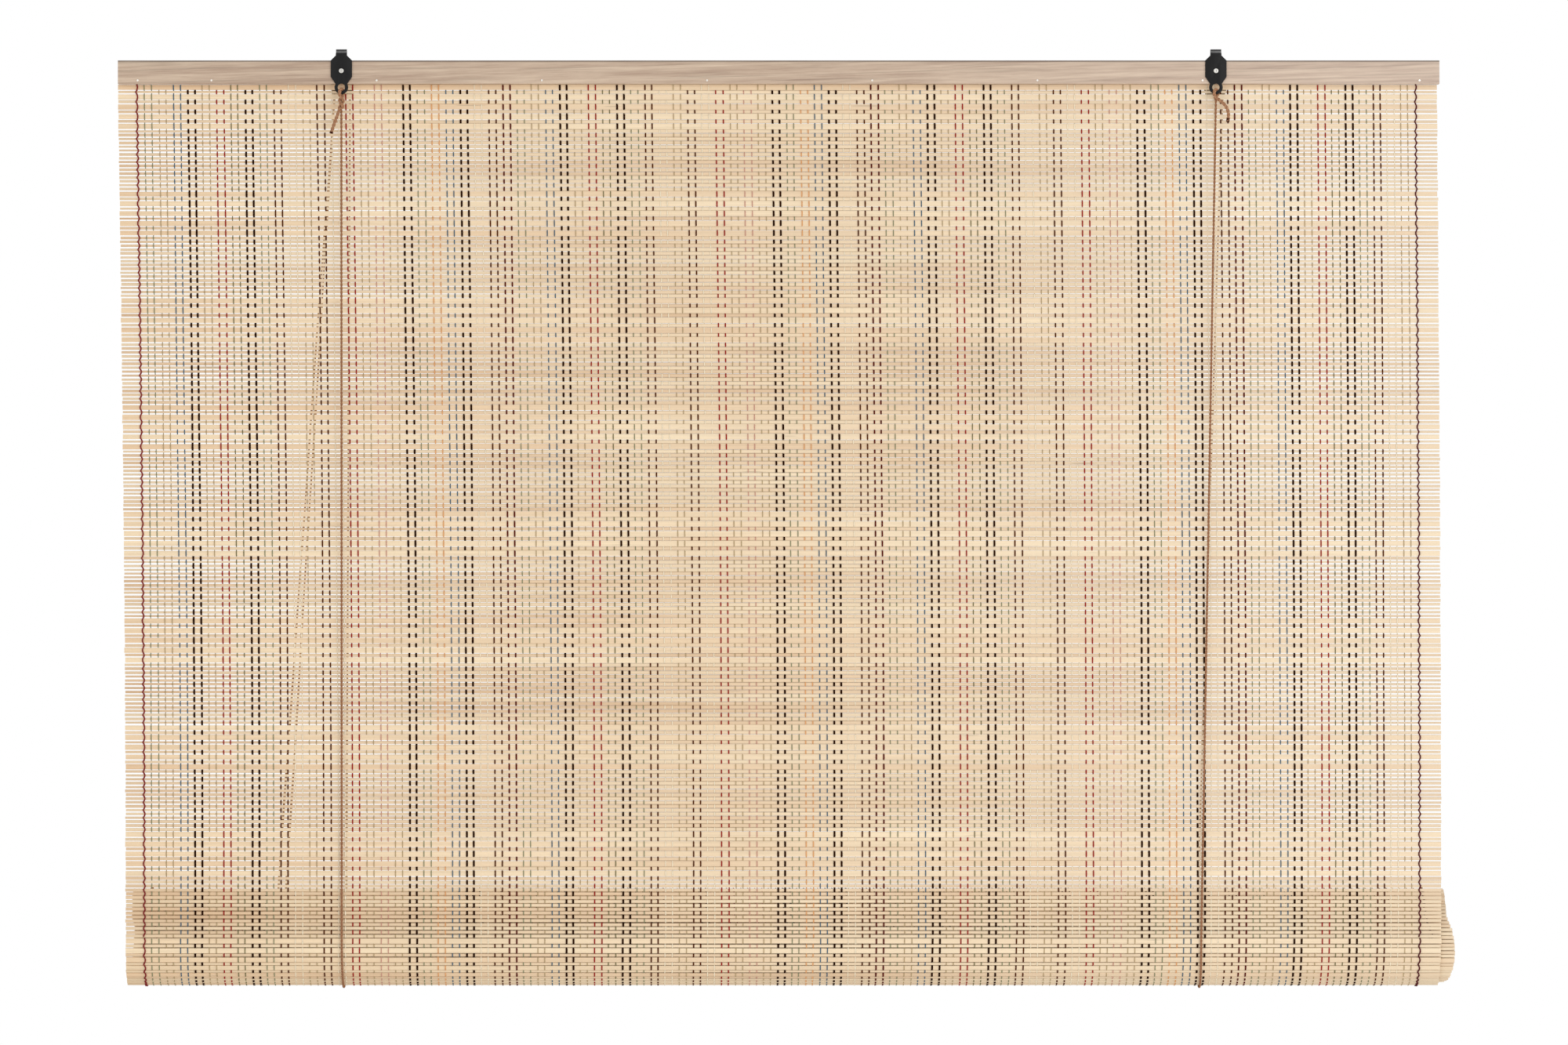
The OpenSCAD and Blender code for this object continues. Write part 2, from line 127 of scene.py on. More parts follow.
def new_finish(name):
    """A new material with its node tree and its shader."""
    mat = bpy.data.materials.new(name)
    mat.use_nodes = True
    return mat, mat.node_tree, mat.node_tree.nodes["Principled BSDF"]


def deselect():
    """Nothing selected, so that the next operator acts only on what it is given."""
    for obj in bpy.context.selected_objects:
        obj.select_set(False)


def pick(obj):
    """Only this object selected and active."""
    deselect()
    obj.select_set(True)
    bpy.context.view_layer.objects.active = obj


# %% World and lamps
WHITE = "#ffffff"
WORLD_LIGHT = 0.62
# Name, watts, side in metres and place of each lamp.
LAMPS = (
    ("key", 41, 3.0, (2.0, -2.6, -0.1)),
    ("fill", 19.5, 3.0, (-2.1, -2.4, -0.1)),
    ("low", 2.6, 1.6, (0.5, -1.2, -1.7)),
    ("back", 30, 3.0, (0.2, 2.4, 0.4)),
)

world = bpy.data.worlds.new("studio")
bpy.context.scene.world = world
world.use_nodes = True
tree = world.node_tree
tree.nodes.clear()
path = add_node(tree, "ShaderNodeLightPath")
seen = path.outputs["Is Camera Ray"]
for ray in ("Is Glossy Ray", "Is Transmission Ray"):
    either = add_node(tree, "ShaderNodeMath", links={0: seen, 1: path.outputs[ray]}, operation="MAXIMUM")
    seen = either.outputs[0]
soft = add_node(tree, "ShaderNodeBackground", values={"Color": linear(WHITE), "Strength": WORLD_LIGHT})
white = add_node(tree, "ShaderNodeBackground", values={"Color": linear(WHITE), "Strength": 1.0})
mix = add_node(tree, "ShaderNodeMixShader", links={0: seen, 1: soft.outputs[0], 2: white.outputs[0]})
add_node(tree, "ShaderNodeOutputWorld", links={"Surface": mix.outputs[0]})

for name, watts, side, place in LAMPS:
    deselect()
    bpy.ops.object.light_add(type="AREA", location=place)
    lamp = bpy.context.object
    lamp.name = name
    lamp.data.energy = watts
    lamp.data.size = side
    aim = Vector((0, 0, view_z)) - lamp.location
    lamp.rotation_euler = aim.to_track_quat("-Z", "Y").to_euler()
print("lamps:", len(LAMPS))

# %% Floor
FLOOR_DROP = 2.2
FLOOR_SIZE = 9.0

deselect()
bpy.ops.mesh.primitive_plane_add(size=FLOOR_SIZE, location=(0, 0, -FLOOR_DROP))
floor = bpy.context.object
floor.name = "floor"
floor_finish, _, shader = new_finish("pale_floor")
shader.inputs["Base Color"].default_value = linear("#f4f2ee")
shader.inputs["Roughness"].default_value = 0.8
floor.data.materials.append(floor_finish)
print("the floor is", FLOOR_SIZE, "m wide")

# %% [markdown]
# ## Finishes
# Each finish starts from the real stuff: split bamboo, planed wood, spun cotton, twisted paper cord, black
# enamel and zinc. Patterns read Object coordinates in metres, so their scale is a real size, given here in
# millimetres. Bamboo fibres run along the slat, so their noise is stretched almost eighty times along X. The
# tone of one slat against the next is a number kept on the mesh, because no two slats are from the same cane.
# Narrow sticks get a lower tone as painted shade, and a second number on the mesh paints shade on the rims.

# %% Helpers for patterns
MIX_A = 6
MIX_B = 7
MIX_COLOUR = 2
NOISE_RANGE = (0.3, 0.7)


def remap(start, end):
    """The values of a Map Range node that takes one range of numbers to another."""
    return dict(zip(("From Min", "From Max", "To Min", "To Max"), (*start, *end)))


def long_marks(tree, place, size_mm, **noise):
    """A noise with marks of this length along X and this width, in millimetres."""
    length, width = size_mm
    scale = (1 / (length * MM), 1 / (width * MM), 1 / (width * MM))
    drawn_out = add_node(tree, "ShaderNodeMapping", values={"Scale": scale}, links={"Vector": place})
    marks = add_node(tree, "ShaderNodeTexNoise", values={"Scale": 1.0, **noise},
                     links={"Vector": drawn_out.outputs[0]})
    return marks.outputs["Fac"]


# %% Split bamboo
FIBRE_MM = (111, 1.43)
FIBRE_TONES = (0.9, 1.05)
STAIN_MM = (250, 33.3)
STAIN_SHARE = 0.62
TONE_SHARE = 0.36
SMUDGE_MM = (45.5, 2.38)
SMUDGE_RANGE = (0.74, 0.84)
SMUDGE_SHADE = 0.62
# Painted shade at the slat rims, where slats touch.
PAINTED_RIM_SHADE = 0.62
CANE_SHIFT = (9.0, 3.0, 0.0)
STRAW = ((0.1, "#d5b089"), (0.3, "#e5c6a2"), (0.5, "#ecd2af"), (0.72, "#f3ddbb"), (0.92, "#e9cbaa"))
# Painted light: the straw turns paler towards the right end, where more light falls.
RIGHT_LIGHT_STRAW = "#ebddc6"
STRAW_RIGHT_LIGHT = 0.34


def split_bamboo():
    """Matt split cane: pale straw, fibres along X, warm stretches, painted shade on rims and sticks, painted
    light that pales it to the right.
    """
    mat, tree, shader = new_finish("split_bamboo")
    place = add_node(tree, "ShaderNodeTexCoord").outputs["Object"]
    tone = add_node(tree, "ShaderNodeAttribute", attribute_name="tone").outputs["Fac"]
    painted_shade = add_node(tree, "ShaderNodeAttribute", attribute_name="painted_shade").outputs["Fac"]
    cane = add_node(tree, "ShaderNodeCombineXYZ", links={"X": tone, "Y": tone})
    shift = add_node(tree, "ShaderNodeVectorMath", values={1: CANE_SHIFT},
                     links={0: cane.outputs[0]}, operation="MULTIPLY")
    own = add_node(tree, "ShaderNodeVectorMath", links={0: place, 1: shift.outputs[0]}, operation="ADD")
    fibre = long_marks(tree, own.outputs[0], FIBRE_MM, Detail=3.0)
    stain = long_marks(tree, place, STAIN_MM, Detail=3.0)
    smudge = long_marks(tree, own.outputs[0], SMUDGE_MM, Detail=1.0)
    broad = add_node(tree, "ShaderNodeMath", values={1: STAIN_SHARE}, links={0: stain}, operation="MULTIPLY")
    level = add_node(tree, "ShaderNodeMath", values={1: TONE_SHARE}, links={0: tone, 2: broad.outputs[0]},
                     operation="MULTIPLY_ADD")
    straw = add_node(tree, "ShaderNodeValToRGB", links={"Fac": level.outputs[0]})
    ramp = straw.color_ramp.elements
    while len(ramp) < len(STRAW):
        ramp.new(0.5)
    for stop, (spot, colour) in zip(ramp, STRAW):
        stop.position = spot
        stop.color = linear(colour)
    mark = add_node(tree, "ShaderNodeMapRange", values=remap(SMUDGE_RANGE, (1.0, SMUDGE_SHADE)),
                    links={0: smudge})
    streak = add_node(tree, "ShaderNodeMapRange", values=remap(NOISE_RANGE, FIBRE_TONES), links={0: fibre})
    # Painted shade: darker where the mesh marks rims and round sticks.
    painted_rim = add_node(tree, "ShaderNodeMapRange", values=remap((0.0, 1.0), (1.0, PAINTED_RIM_SHADE)), links={0: painted_shade})
    shade = add_node(tree, "ShaderNodeMath", links={0: mark.outputs[0], 1: streak.outputs[0]},
                     operation="MULTIPLY")
    shade = add_node(tree, "ShaderNodeMath", links={0: shade.outputs[0], 1: painted_rim.outputs[0]},
                     operation="MULTIPLY")
    colour = add_node(tree, "ShaderNodeVectorMath",
                      links={0: straw.outputs["Color"], "Scale": shade.outputs[0]}, operation="SCALE")
    # Painted light: paler towards the right.
    along = add_node(tree, "ShaderNodeSeparateXYZ", links={0: place}).outputs["X"]
    right_light = add_node(tree, "ShaderNodeMapRange", links={0: along},
                      values=remap((-rail_len / 2, rail_len / 2), (0.0, STRAW_RIGHT_LIGHT)))
    paler = add_node(tree, "ShaderNodeMix", data_type="RGBA", values={MIX_B: linear(RIGHT_LIGHT_STRAW)},
                     links={0: right_light.outputs[0], MIX_A: colour.outputs[0]})
    tree.links.new(paler.outputs[MIX_COLOUR], shader.inputs["Base Color"])
    bump = add_node(tree, "ShaderNodeBump", values={"Strength": 0.25, "Distance": 0.2 * MM},
                    links={"Height": fibre})
    tree.links.new(bump.outputs[0], shader.inputs["Normal"])
    shader.inputs["Roughness"].default_value = 0.62
    shader.inputs["Specular IOR Level"].default_value = 0.22
    return mat


# %% Planed wood
GRAIN_LEAN = math.radians(1.6)
FINE_GRAIN_MM = (41.7, 1.92)
BROAD_GRAIN_MM = (333, 6.25)
GRAIN_RANGE = (0.75, 1.25)
STREAK_MM = (125, 2.33)
STREAK_RANGE = (0.56, 0.68)
STREAK_SHADE = 0.8
# Painted shade along the top arris: where it starts and ends below the top, and how dark it gets.
TOP_SHADE_START = 1.9 * MM
TOP_SHADE_END = 0.8 * MM
PAINTED_TOP_SHADE = 0.36
# Painted light: the lath turns paler towards its right end, where more light falls.
RIGHT_LIGHT_WOOD = "#e2d2ca"
WOOD_RIGHT_LIGHT = 0.22


def planed_wood(name, pale, dark, shaded_top_z):
    """Bare planed lath: fine grain along X in two tones, dark streaks, painted shade along the top arris,
    painted light that pales it to the right.
    """
    mat, tree, shader = new_finish(name)
    place = add_node(tree, "ShaderNodeTexCoord").outputs["Object"]
    spot = add_node(tree, "ShaderNodeSeparateXYZ", links={0: place})
    lean = add_node(tree, "ShaderNodeMapping", values={"Rotation": (0.0, GRAIN_LEAN, 0.0)},
                    links={"Vector": place}).outputs[0]
    fine = long_marks(tree, lean, FINE_GRAIN_MM, Detail=5.0, Roughness=0.65)
    broad = long_marks(tree, lean, BROAD_GRAIN_MM, Detail=3.0, Distortion=0.4)
    line = long_marks(tree, lean, STREAK_MM, Detail=2.0)
    grain = add_node(tree, "ShaderNodeMath", links={0: fine, 1: broad}, operation="ADD").outputs[0]
    band = add_node(tree, "ShaderNodeMapRange", values=remap(GRAIN_RANGE, (0.0, 1.0)), links={0: grain})
    colour = add_node(tree, "ShaderNodeMix", data_type="RGBA",
                      values={MIX_A: linear(dark), MIX_B: linear(pale)}, links={0: band.outputs[0]})
    # Painted light: paler towards the right.
    right_light = add_node(tree, "ShaderNodeMapRange", values=remap((0.0, rail_len / 2), (0.0, WOOD_RIGHT_LIGHT)),
                      links={0: spot.outputs["X"]})
    paler = add_node(tree, "ShaderNodeMix", data_type="RGBA", values={MIX_B: linear(RIGHT_LIGHT_WOOD)},
                     links={0: right_light.outputs[0], MIX_A: colour.outputs[MIX_COLOUR]})
    streak = add_node(tree, "ShaderNodeMapRange", values=remap(STREAK_RANGE, (1.0, STREAK_SHADE)),
                      links={0: line})
    # Painted shade: darker just below the top arris.
    top_shade = add_node(tree, "ShaderNodeMapRange", links={0: spot.outputs["Z"]},
                     values=remap((shaded_top_z - TOP_SHADE_START, shaded_top_z - TOP_SHADE_END), (1.0, PAINTED_TOP_SHADE)))
    shade = add_node(tree, "ShaderNodeMath", links={0: streak.outputs[0], 1: top_shade.outputs[0]},
                     operation="MULTIPLY")
    shaded = add_node(tree, "ShaderNodeVectorMath", operation="SCALE",
                      links={0: paler.outputs[MIX_COLOUR], "Scale": shade.outputs[0]})
    tree.links.new(shaded.outputs[0], shader.inputs["Base Color"])
    bump = add_node(tree, "ShaderNodeBump", values={"Strength": 0.2, "Distance": 0.3 * MM},
                    links={"Height": grain})
    tree.links.new(bump.outputs[0], shader.inputs["Normal"])
    shader.inputs["Roughness"].default_value = 0.7
    return mat


# %% Thread and cord
def spun(name, hex_colour, grain_mm, contrast, depth_mm):
    """Spun fibre: dull, a little uneven in tone from twist to twist."""
    mat, tree, shader = new_finish(name)
    place = add_node(tree, "ShaderNodeTexCoord").outputs["Object"]
    fuzz = add_node(tree, "ShaderNodeTexNoise", values={"Scale": 1 / (grain_mm * MM), "Detail": 2.0},
                    links={"Vector": place}).outputs["Fac"]
    tone = add_node(tree, "ShaderNodeMapRange", values=remap(NOISE_RANGE, (1 - contrast, 1 + contrast)),
                    links={0: fuzz})
    colour = add_node(tree, "ShaderNodeVectorMath", values={0: linear(hex_colour)[:3]},
                      links={"Scale": tone.outputs[0]}, operation="SCALE")
    tree.links.new(colour.outputs[0], shader.inputs["Base Color"])
    bump = add_node(tree, "ShaderNodeBump", values={"Strength": 0.5, "Distance": depth_mm * MM},
                    links={"Height": fuzz})
    tree.links.new(bump.outputs[0], shader.inputs["Normal"])
    shader.inputs["Roughness"].default_value = 0.92
    shader.inputs["Specular IOR Level"].default_value = 0.02
    return mat


# %% Enamel, zinc and nylon
# Real dust is finer. The specks are as coarse as they need to be to show.
SPECK_MM = 1.11
ENAMEL_ROUGHNESS = 0.45
ENAMEL_SPECK = 0.07
# Share of its reach that the painted highlight on the hook fills fully.
HIGHLIGHT_CORE = 0.4


def specked(name, roughness, speck):
    """A hard smooth finish with specks in its gloss, and its tree, shader, place and specks."""
    mat, tree, shader = new_finish(name)
    place = add_node(tree, "ShaderNodeTexCoord").outputs["Object"]
    dust = add_node(tree, "ShaderNodeTexNoise", values={"Scale": 1 / (SPECK_MM * MM), "Detail": 3.0},
                    links={"Vector": place}).outputs["Fac"]
    gloss = add_node(tree, "ShaderNodeMapRange", links={0: dust},
                     values=remap(NOISE_RANGE, (roughness - speck, roughness + speck)))
    tree.links.new(gloss.outputs[0], shader.inputs["Roughness"])
    bump = add_node(tree, "ShaderNodeBump", values={"Strength": 0.15, "Distance": 0.05 * MM},
                    links={"Height": dust})
    tree.links.new(bump.outputs[0], shader.inputs["Normal"])
    return mat, tree, shader, place, dust


def metal_or_plastic(name, hex_colour, metallic, roughness, speck):
    """Zinc, steel or moulded nylon: one colour, with the faint specks of handling in its gloss."""
    mat, _, shader, _, _ = specked(name, roughness, speck)
    shader.inputs["Base Color"].default_value = linear(hex_colour)
    shader.inputs["Metallic"].default_value = metallic
    return mat


def enamel_with_painted_highlight(name, hex_colour, highlight_colour, highlight_z, highlight_reach):
    """Thin black stove enamel on stamped steel: dull, near black, with a painted grey highlight where the
    hook rolls over.
    """
    mat, tree, shader, place, dust = specked(name, ENAMEL_ROUGHNESS, ENAMEL_SPECK)
    height = add_node(tree, "ShaderNodeSeparateXYZ", links={0: place}).outputs["Z"]
    off = add_node(tree, "ShaderNodeMath", values={1: highlight_z}, links={0: height}, operation="SUBTRACT")
    away = add_node(tree, "ShaderNodeMath", links={0: off.outputs[0]}, operation="ABSOLUTE")
    # Painted highlight: a grey band round one height, broken by the specks.
    highlight_band = add_node(tree, "ShaderNodeMapRange", interpolation_type="SMOOTHSTEP",
                   values=remap((highlight_reach, highlight_reach * HIGHLIGHT_CORE), (0.0, 1.0)),
                   links={0: away.outputs[0]})
    painted_highlight = add_node(tree, "ShaderNodeMath", links={0: highlight_band.outputs[0], 1: dust}, operation="MULTIPLY")
    colour = add_node(tree, "ShaderNodeMix", data_type="RGBA", links={0: painted_highlight.outputs[0]},
                      values={MIX_A: linear(hex_colour), MIX_B: linear(highlight_colour)})
    tree.links.new(colour.outputs[MIX_COLOUR], shader.inputs["Base Color"])
    shader.inputs["Specular IOR Level"].default_value = 0.2
    return mat


# %% Mix the finishes
# Height and reach of the painted highlight where the hook rolls over.
HOOK_HIGHLIGHT_Z = 1.3 * MM
HOOK_HIGHLIGHT_REACH = 1.3 * MM
EDGE_COLOURS = {"left": "#83292c", "right": "#561f25"}
# Grain in millimetres, contrast of tone, and depth in millimetres of each kind of fibre.
YARN = (0.45, 0.14, 0.1)
STOUT_YARN = (0.5, 0.2, 0.1)
PAPER_CORD = (0.5, 0.34, 0.15)
# Letter in the draft, colour, and width in millimetres of each yarn.
THREADS = {
    "black": ("K", "#2a1205", 1.75), "brown": ("B", "#54250a", 1.25), "maroon": ("M", "#5c1c15", 1.4),
    "red": ("R", "#9e2623", 1.15), "blue": ("G", "#4f687b", 0.95), "sage": ("E", "#898b6c", 0.8),
    "tan": ("T", "#b6a07a", 0.75), "olive": ("L", "#79734f", 0.85), "pink": ("P", "#cb9887", 0.8),
    "orange": ("O", "#e2a772", 1.0), "cream": ("C", "#f4e8cf", 0.9),
}
bamboo = split_bamboo()
rail_wood = planed_wood("planed_rail_wood", "#d5bfa8", "#b09783", rail_top)
lath_wood = planed_wood("planed_lath_wood", "#dec5a2", "#a98c67", rail_top)
thread_finish = {name: spun("spun_thread_" + name, colour, *YARN)
                 for name, (_, colour, _) in THREADS.items()}
edge_finish = {word: spun("spun_edge_thread_" + word, colour, *STOUT_YARN)
               for word, colour in EDGE_COLOURS.items()}
taut_finish = spun("taut_paper_cord", "#9c7053", *PAPER_CORD)
loose_finish = spun("loose_paper_cord", "#ab7f61", *PAPER_CORD)
seal_finish = spun("sealed_cord_end", "#3c1c12", *STOUT_YARN)
enamel = enamel_with_painted_highlight("black_enamel", "#0b0b0c", "#8c8c8c", HOOK_HIGHLIGHT_Z, HOOK_HIGHLIGHT_REACH)
zinc = metal_or_plastic("zinc_plate", "#bdbbb6", 1.0, 0.34, 0.06)
bright_steel = metal_or_plastic("bright_brad_steel", "#e6e2da", 1.0, 0.25, 0.05)
nylon = metal_or_plastic("moulded_nylon", "#151515", 0.0, 0.5, 0.05)
print("finishes:", len(bpy.data.materials))

# %% [markdown]
# ## The order of the slats
# The mat repeats a block: five wide slats with a narrow one after each, then fifteen narrow ones. The block
# has an odd number of slats, so a thread that passes over one slat and under the next comes out on the other
# side in the next block. That is what makes the long and short dashes change places down the blind.

# %% Slat edges along the mat
WIDE = 5.4 * MM
NARROW = 3.5 * MM
WIDE_PAIRS = 5
NARROW_RUN = 15
BLOCK = ([WIDE, NARROW] * WIDE_PAIRS) + [NARROW] * NARROW_RUN
HANG_BLOCKS = 8
ROLL_BLOCKS = 8
TURN_PITCH = 2.8 * MM
CREEP_START = -1.4 * MM
CREEP_GAIN = 7.1 * MM
CREEP_LOSS = 0.45


def centre(node):
    """Middle of a node's box."""
    return [(low + high) / 2 for low, high in zip(*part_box(node))]


steps = BLOCK * (HANG_BLOCKS + ROLL_BLOCKS)
edges = np.concatenate([[0.0], np.cumsum(steps)])
hang_slats = len(BLOCK) * HANG_BLOCKS
hang_len = edges[hang_slats]
mat_low, mat_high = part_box("mat")
mat_mid_y = centre("mat")[1]
slat_t = mat_high[1] - mat_low[1]
roll_axis = joints["roll_turn"]["pos_m"]
roll_r = roll_axis[1] - mat_low[1]
roll_mid_r = roll_r - slat_t / 2
print("hanging length", round(hang_len, 3), "m, roll radius", round(roll_r / MM, 1), "mm")


# %% Places on the mat
def creep(s, x):
    """How far the mat has crept to the right at a length s below the rail: less at its right side."""
    fall = np.clip(np.asarray(s) / hang_len, 0, 1)
    return (CREEP_START + CREEP_GAIN * np.sin(fall * math.pi / 2)) * (1 - CREEP_LOSS * (x / rail_len + 0.5))


def roll_angle(s):
    """Turn of the roll, from its front, at a length s of rolled mat."""
    return (roll_mid_r - math.sqrt(roll_mid_r ** 2 - TURN_PITCH * s / math.pi)) * 2 * math.pi / TURN_PITCH


def on_mat(s, out):
    """Point in the YZ plane at length s along the mat, out from its middle towards the room."""
    if s <= hang_len:
        return mat_mid_y - out, rail_low - s
    angle = roll_angle(s - hang_len)
    radius = roll_mid_r - TURN_PITCH * angle / (2 * math.pi) + out
    return roll_axis[1] - radius * math.cos(angle), roll_axis[2] - radius * math.sin(angle)


# %% [markdown]
# ## Slats
# A wide slat is split and planed, so it is a flat bar with soft long edges. The narrow slats between are
# pulled sticks, almost round, with wider gaps at the ends of the mat. One bar of each width is modelled from
# a cube: its long edges are bevelled and its length is cut into pieces. Every slat of the mat is then a copy
# with its own mesh, a little longer or shorter, a little wavy, with its own tone.

# %% Model one bar
SOFT_EDGE = {WIDE: 0.25 * MM, NARROW: 0.75 * MM}
SOFT_STEPS = 3
SOFT_ANGLE = math.radians(40)


def pick_long_edges(obj, length):
    """Edit mode with only the edges selected that run along the bar."""
    bpy.ops.object.mode_set(mode="EDIT")
    bpy.ops.mesh.select_mode(type="EDGE")
    bpy.ops.mesh.select_all(action="DESELECT")
    bpy.ops.object.mode_set(mode="OBJECT")
    for edge in obj.data.edges:
        ends = [obj.data.vertices[v].co for v in edge.vertices]
        edge.select = abs(ends[0].x - ends[1].x) > length / 2
    bpy.ops.object.mode_set(mode="EDIT")


def bar(name, width, thickness, length, soft_edge, cuts):
    """A bar along X with soft long edges, cut across its length."""
    deselect()
    bpy.ops.mesh.primitive_cube_add(size=1)
    obj = bpy.context.object
    obj.name = name
    obj.scale = (length, thickness, width)
    bpy.ops.object.transform_apply(location=False, rotation=False, scale=True)
    pick_long_edges(obj, length)
    bpy.ops.mesh.bevel(offset=soft_edge, segments=SOFT_STEPS, affect="EDGES")
    pick_long_edges(obj, length)
    bpy.ops.mesh.subdivide(number_cuts=cuts)
    bpy.ops.object.mode_set(mode="OBJECT")
    bpy.ops.object.shade_smooth_by_angle(angle=SOFT_ANGLE)
    return obj


# %% Helpers for copies and points
def join(name, objects, finish):
    """One object out of many, with one finish."""
    deselect()
    for obj in objects:
        obj.select_set(True)
    bpy.context.view_layer.objects.active = objects[0]
    if len(objects) > 1:
        bpy.ops.object.join()
    whole = bpy.context.view_layer.objects.active
    whole.name = name
    whole.data.name = name
    whole.data.materials.clear()
    whole.data.materials.append(finish)
    return whole


def points_of(obj):
    """The mesh's points as one array."""
    flat = np.empty(len(obj.data.vertices) * 3)
    obj.data.vertices.foreach_get("co", flat)
    return flat.reshape(-1, 3)


def set_points(obj, points):
    """The array back into the mesh."""
    obj.data.vertices.foreach_set("co", points.ravel())
    obj.data.update()


def mesh_copy(obj):
    """A copy with its own mesh, in the same collection."""
    twin = obj.copy()
    twin.data = obj.data.copy()
    bpy.context.collection.objects.link(twin)
    return twin


# %% [markdown]
# The turns of the roll have slid to the right, and not evenly. The first three quarters of a turn hang on to
# the mat. Later the slide goes round with the turns: all of it at the front, a fifth below and behind.

# %% How far the roll has slid
FREE_AT = (0.0, 0.25, 0.75)
FREE_SHARE = (0.0, -0.06, 0.33)
PUSH_AT = (0.02, 0.08, 0.12, 0.18, 0.22, 0.25, 0.5, 0.75, 0.925, 0.97)
PUSH_SHARE = (1.0, 1.0, 0.93, 0.68, 0.42, 0.2, 0.2, 0.33, 0.41, 0.79)
PUSH_SPARE = 3.2 * MM
turn_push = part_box("mat_roll")[1][0] - PUSH_SPARE - rail_len / 2 - creep(hang_len, rail_len / 2)


def push(angle):
    """How far the roll has slid to the right at an angle along its spiral."""
    turns = np.asarray(angle) / (2 * math.pi)
    first = np.interp(turns, FREE_AT, FREE_SHARE)
    later = np.interp(turns, PUSH_AT, PUSH_SHARE, period=1.0)
    return turn_push * np.where(turns < FREE_AT[-1], first, later)


print("the roll has slid by", round(turn_push / MM, 1), "mm at most")

# %% [markdown]
# Slats touch in the middle of the mat, so there painted shade on their rims draws the lines between them.
# Towards the ends the gaps open. Towards the roll they close again, because it presses on the mat from
# behind.

# %% Gaps and rims
MID_GAP = 0.06 * MM
END_GAP = {WIDE: 0.9 * MM, NARROW: 1.3 * MM}
GAP_GROWTH = 1.4
GAP_PLAY = (0.6, 1.4)
ROLLED_GAP = 0.8 * MM
SHUT_GAP = 0.6 * MM
PRESSED_GAP = 0.45
PRESS_REACH = 10 * MM
CLOSING = 0.7
CLOSING_REACH = 4
# Painted shade all over a round stick near the ends, and the share of the length over which rim shade gives
# way to it.
PAINTED_STICK_SHADE = 0.2
SHUT_SHARE = 0.28
draw = random.Random(7)


def painted_slat_shade(points, width):
    """Painted shade on a slat: at its rims in the middle of the mat, where slats touch, and all over a round
    stick near its ends.
    """
    painted_shade = np.clip(1 - (width / 2 - np.abs(points[:, 2])) / SOFT_EDGE[width], 0, 1)
    apart = np.clip(np.abs(points[:, 0]) / (SHUT_SHARE * rail_len), 0, 1)
    return painted_shade * (1 - apart) + (PAINTED_STICK_SHADE if width == NARROW else 0.0) * apart


def gap_loss(points, index, s):
    """How much of its width a slat at length s gives away to the gaps."""
    width = steps[index]
    loss = (END_GAP[width] - MID_GAP) * (np.abs(points[:, 0]) / (rail_len / 2)) ** GAP_GROWTH
    loss = loss * draw.uniform(*GAP_PLAY) if index < hang_slats else ROLLED_GAP - MID_GAP
    loss = loss * np.interp(s, (hang_len - CLOSING_REACH * roll_r, hang_len - roll_r), (1.0, CLOSING))
    if hang_len - roll_r - PRESS_REACH < s < hang_len:
        loss = np.maximum(loss * PRESSED_GAP, SHUT_GAP - MID_GAP)
    return loss


# %% Lay one slat
WAVE = 0.16 * MM
WAVE_PLAY = (0.6, 1.4)
WAVE_SPAN = (0.5, 1.1)
END_PLAY = 0.5 * MM
# Narrow sticks get a lower tone: painted shade for their round faces.
PAINTED_STICK_TONE = -0.12
SLAT_CUTS = 11
SLAT_SPARE = 2.0 * MM
bars = {w: bar("slat_bar", w - MID_GAP, slat_t, rail_len - SLAT_SPARE, SOFT_EDGE[w], SLAT_CUTS)
        for w in (WIDE, NARROW)}


def lay_slat(index):
    """A copy of the right bar at its place on the mat."""
    width = steps[index]
    s = (edges[index] + edges[index + 1]) / 2
    obj = mesh_copy(bars[width])
    points = points_of(obj)
    painted_shade = painted_slat_shade(points, width)
    points[:, 2] *= 1 - gap_loss(points, index, s) / (width - MID_GAP)
    wave = draw.uniform(*WAVE_PLAY) * WAVE
    lag = draw.uniform(0, 2 * math.pi)
    span = draw.uniform(*WAVE_SPAN)
    points[:, 0] *= 1 + draw.uniform(-1, 1) * END_PLAY / rail_len
    points[:, 2] += wave * np.sin(2 * math.pi * points[:, 0] / span + lag)
    points[:, 0] += creep(s, points[:, 0]) + draw.uniform(-0.5, 0.5) * END_PLAY
    turn = 0.0
    if s > hang_len:
        turn = roll_angle(s - hang_len)
        points[:, 0] += push(turn)
    y, z = on_mat(s, 0.0)
    flat = points.copy()
    points[:, 1] = y + flat[:, 1] * math.cos(turn) - flat[:, 2] * math.sin(turn)
    points[:, 2] = z + flat[:, 1] * math.sin(turn) + flat[:, 2] * math.cos(turn)
    set_points(obj, points)
    # The tone is random per cane, lower on narrow sticks as painted shade; the second number is painted
    # shade.
    cane = draw.random() + (PAINTED_STICK_TONE if width == NARROW else 0.0)
    for title, values in (("tone", np.full(len(points), cane)), ("painted_shade", painted_shade)):
        kept = obj.data.attributes.new(title, "FLOAT", "POINT")
        kept.data.foreach_set("value", values.astype(np.float32))
    return obj


# %% Lay out the hanging slats and the rolled ones
laid = [lay_slat(i) for i in range(len(steps))]
hanging_slats = join("hanging_slats", laid[:hang_slats], bamboo)
rolled_slats = join("rolled_slats", laid[hang_slats:], bamboo)
for template in bars.values():
    bpy.data.objects.remove(template)
print("slats:", len(steps), "faces:", len(hanging_slats.data.polygons) + len(rolled_slats.data.polygons))

